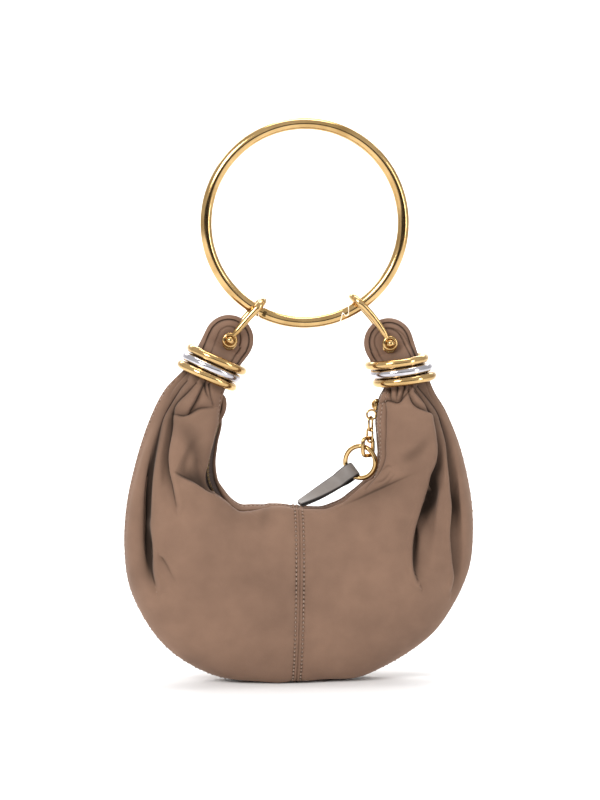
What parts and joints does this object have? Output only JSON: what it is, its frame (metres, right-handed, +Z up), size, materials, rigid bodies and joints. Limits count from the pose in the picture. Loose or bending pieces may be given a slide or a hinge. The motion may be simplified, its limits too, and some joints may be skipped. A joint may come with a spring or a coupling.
{
  "type": "ring handle bag",
  "caption": "Crescent-shaped soft leather bag with a zip, hung by two metal bows from a large round ring handle; metal collars gather the leather at each end.",
  "frame": {"origin": "inside top of the ring handle, where a hand or a hook carries it; the bag hangs below it", "axes": "+Z up as it hangs, +X to the viewer's right in the picture, -Y towards the viewer"},
  "size_m": [0.2314, 0.062, 0.3707],
  "materials": {
    "gold": "polished pale gold plating",
    "silver": "polished silver plating",
    "leather": "nubuck-like matt leather",
    "zip_tape": "woven tape",
    "zip_teeth": "brushed metal teeth",
    "tag_leather": "smooth leather strap"
  },
  "bodies": {
    "handle": {"ring_handle": "gold", "gate_pin": "gold"},
    "gate": {"ring_gate": "gold"},
    "bag": {"bow_left": "gold", "bow_right": "gold", "bow_pin_left": "gold", "bow_pin_right": "gold", "neck_loop_left": "leather", "neck_loop_right": "leather", "collar_left_upper": "gold", "collar_left_middle": "silver", "collar_left_lower": "gold", "collar_right_upper": "gold", "collar_right_middle": "silver", "collar_right_lower": "gold", "front_panel_left": "leather", "front_panel_right": "leather", "back_panel_left": "leather", "back_panel_right": "leather", "zip_tape": "zip_tape", "zip_teeth": "zip_teeth", "zip_end_tab": "leather", "zip_slider": "gold", "pull_link_upper": "gold", "pull_link_lower": "gold", "pull_square_link": "gold", "pull_ring": "gold", "pull_tag": "tag_leather"}
  },
  "joints": [
    {"name": "gate_hinge", "type": "hinge", "parent": "handle", "child": "gate", "pos_m": [-0.02714, 0, -0.12068], "axis": [0, -1, 0], "range_deg": [0, 24]},
    {"name": "bag_swing", "type": "hinge", "parent": "handle", "child": "bag", "pos_m": [-0.0328, 0, -0.11775], "axis": [0.9996, 0, 0.0297], "range_deg": [-50, 50]}
  ]
}
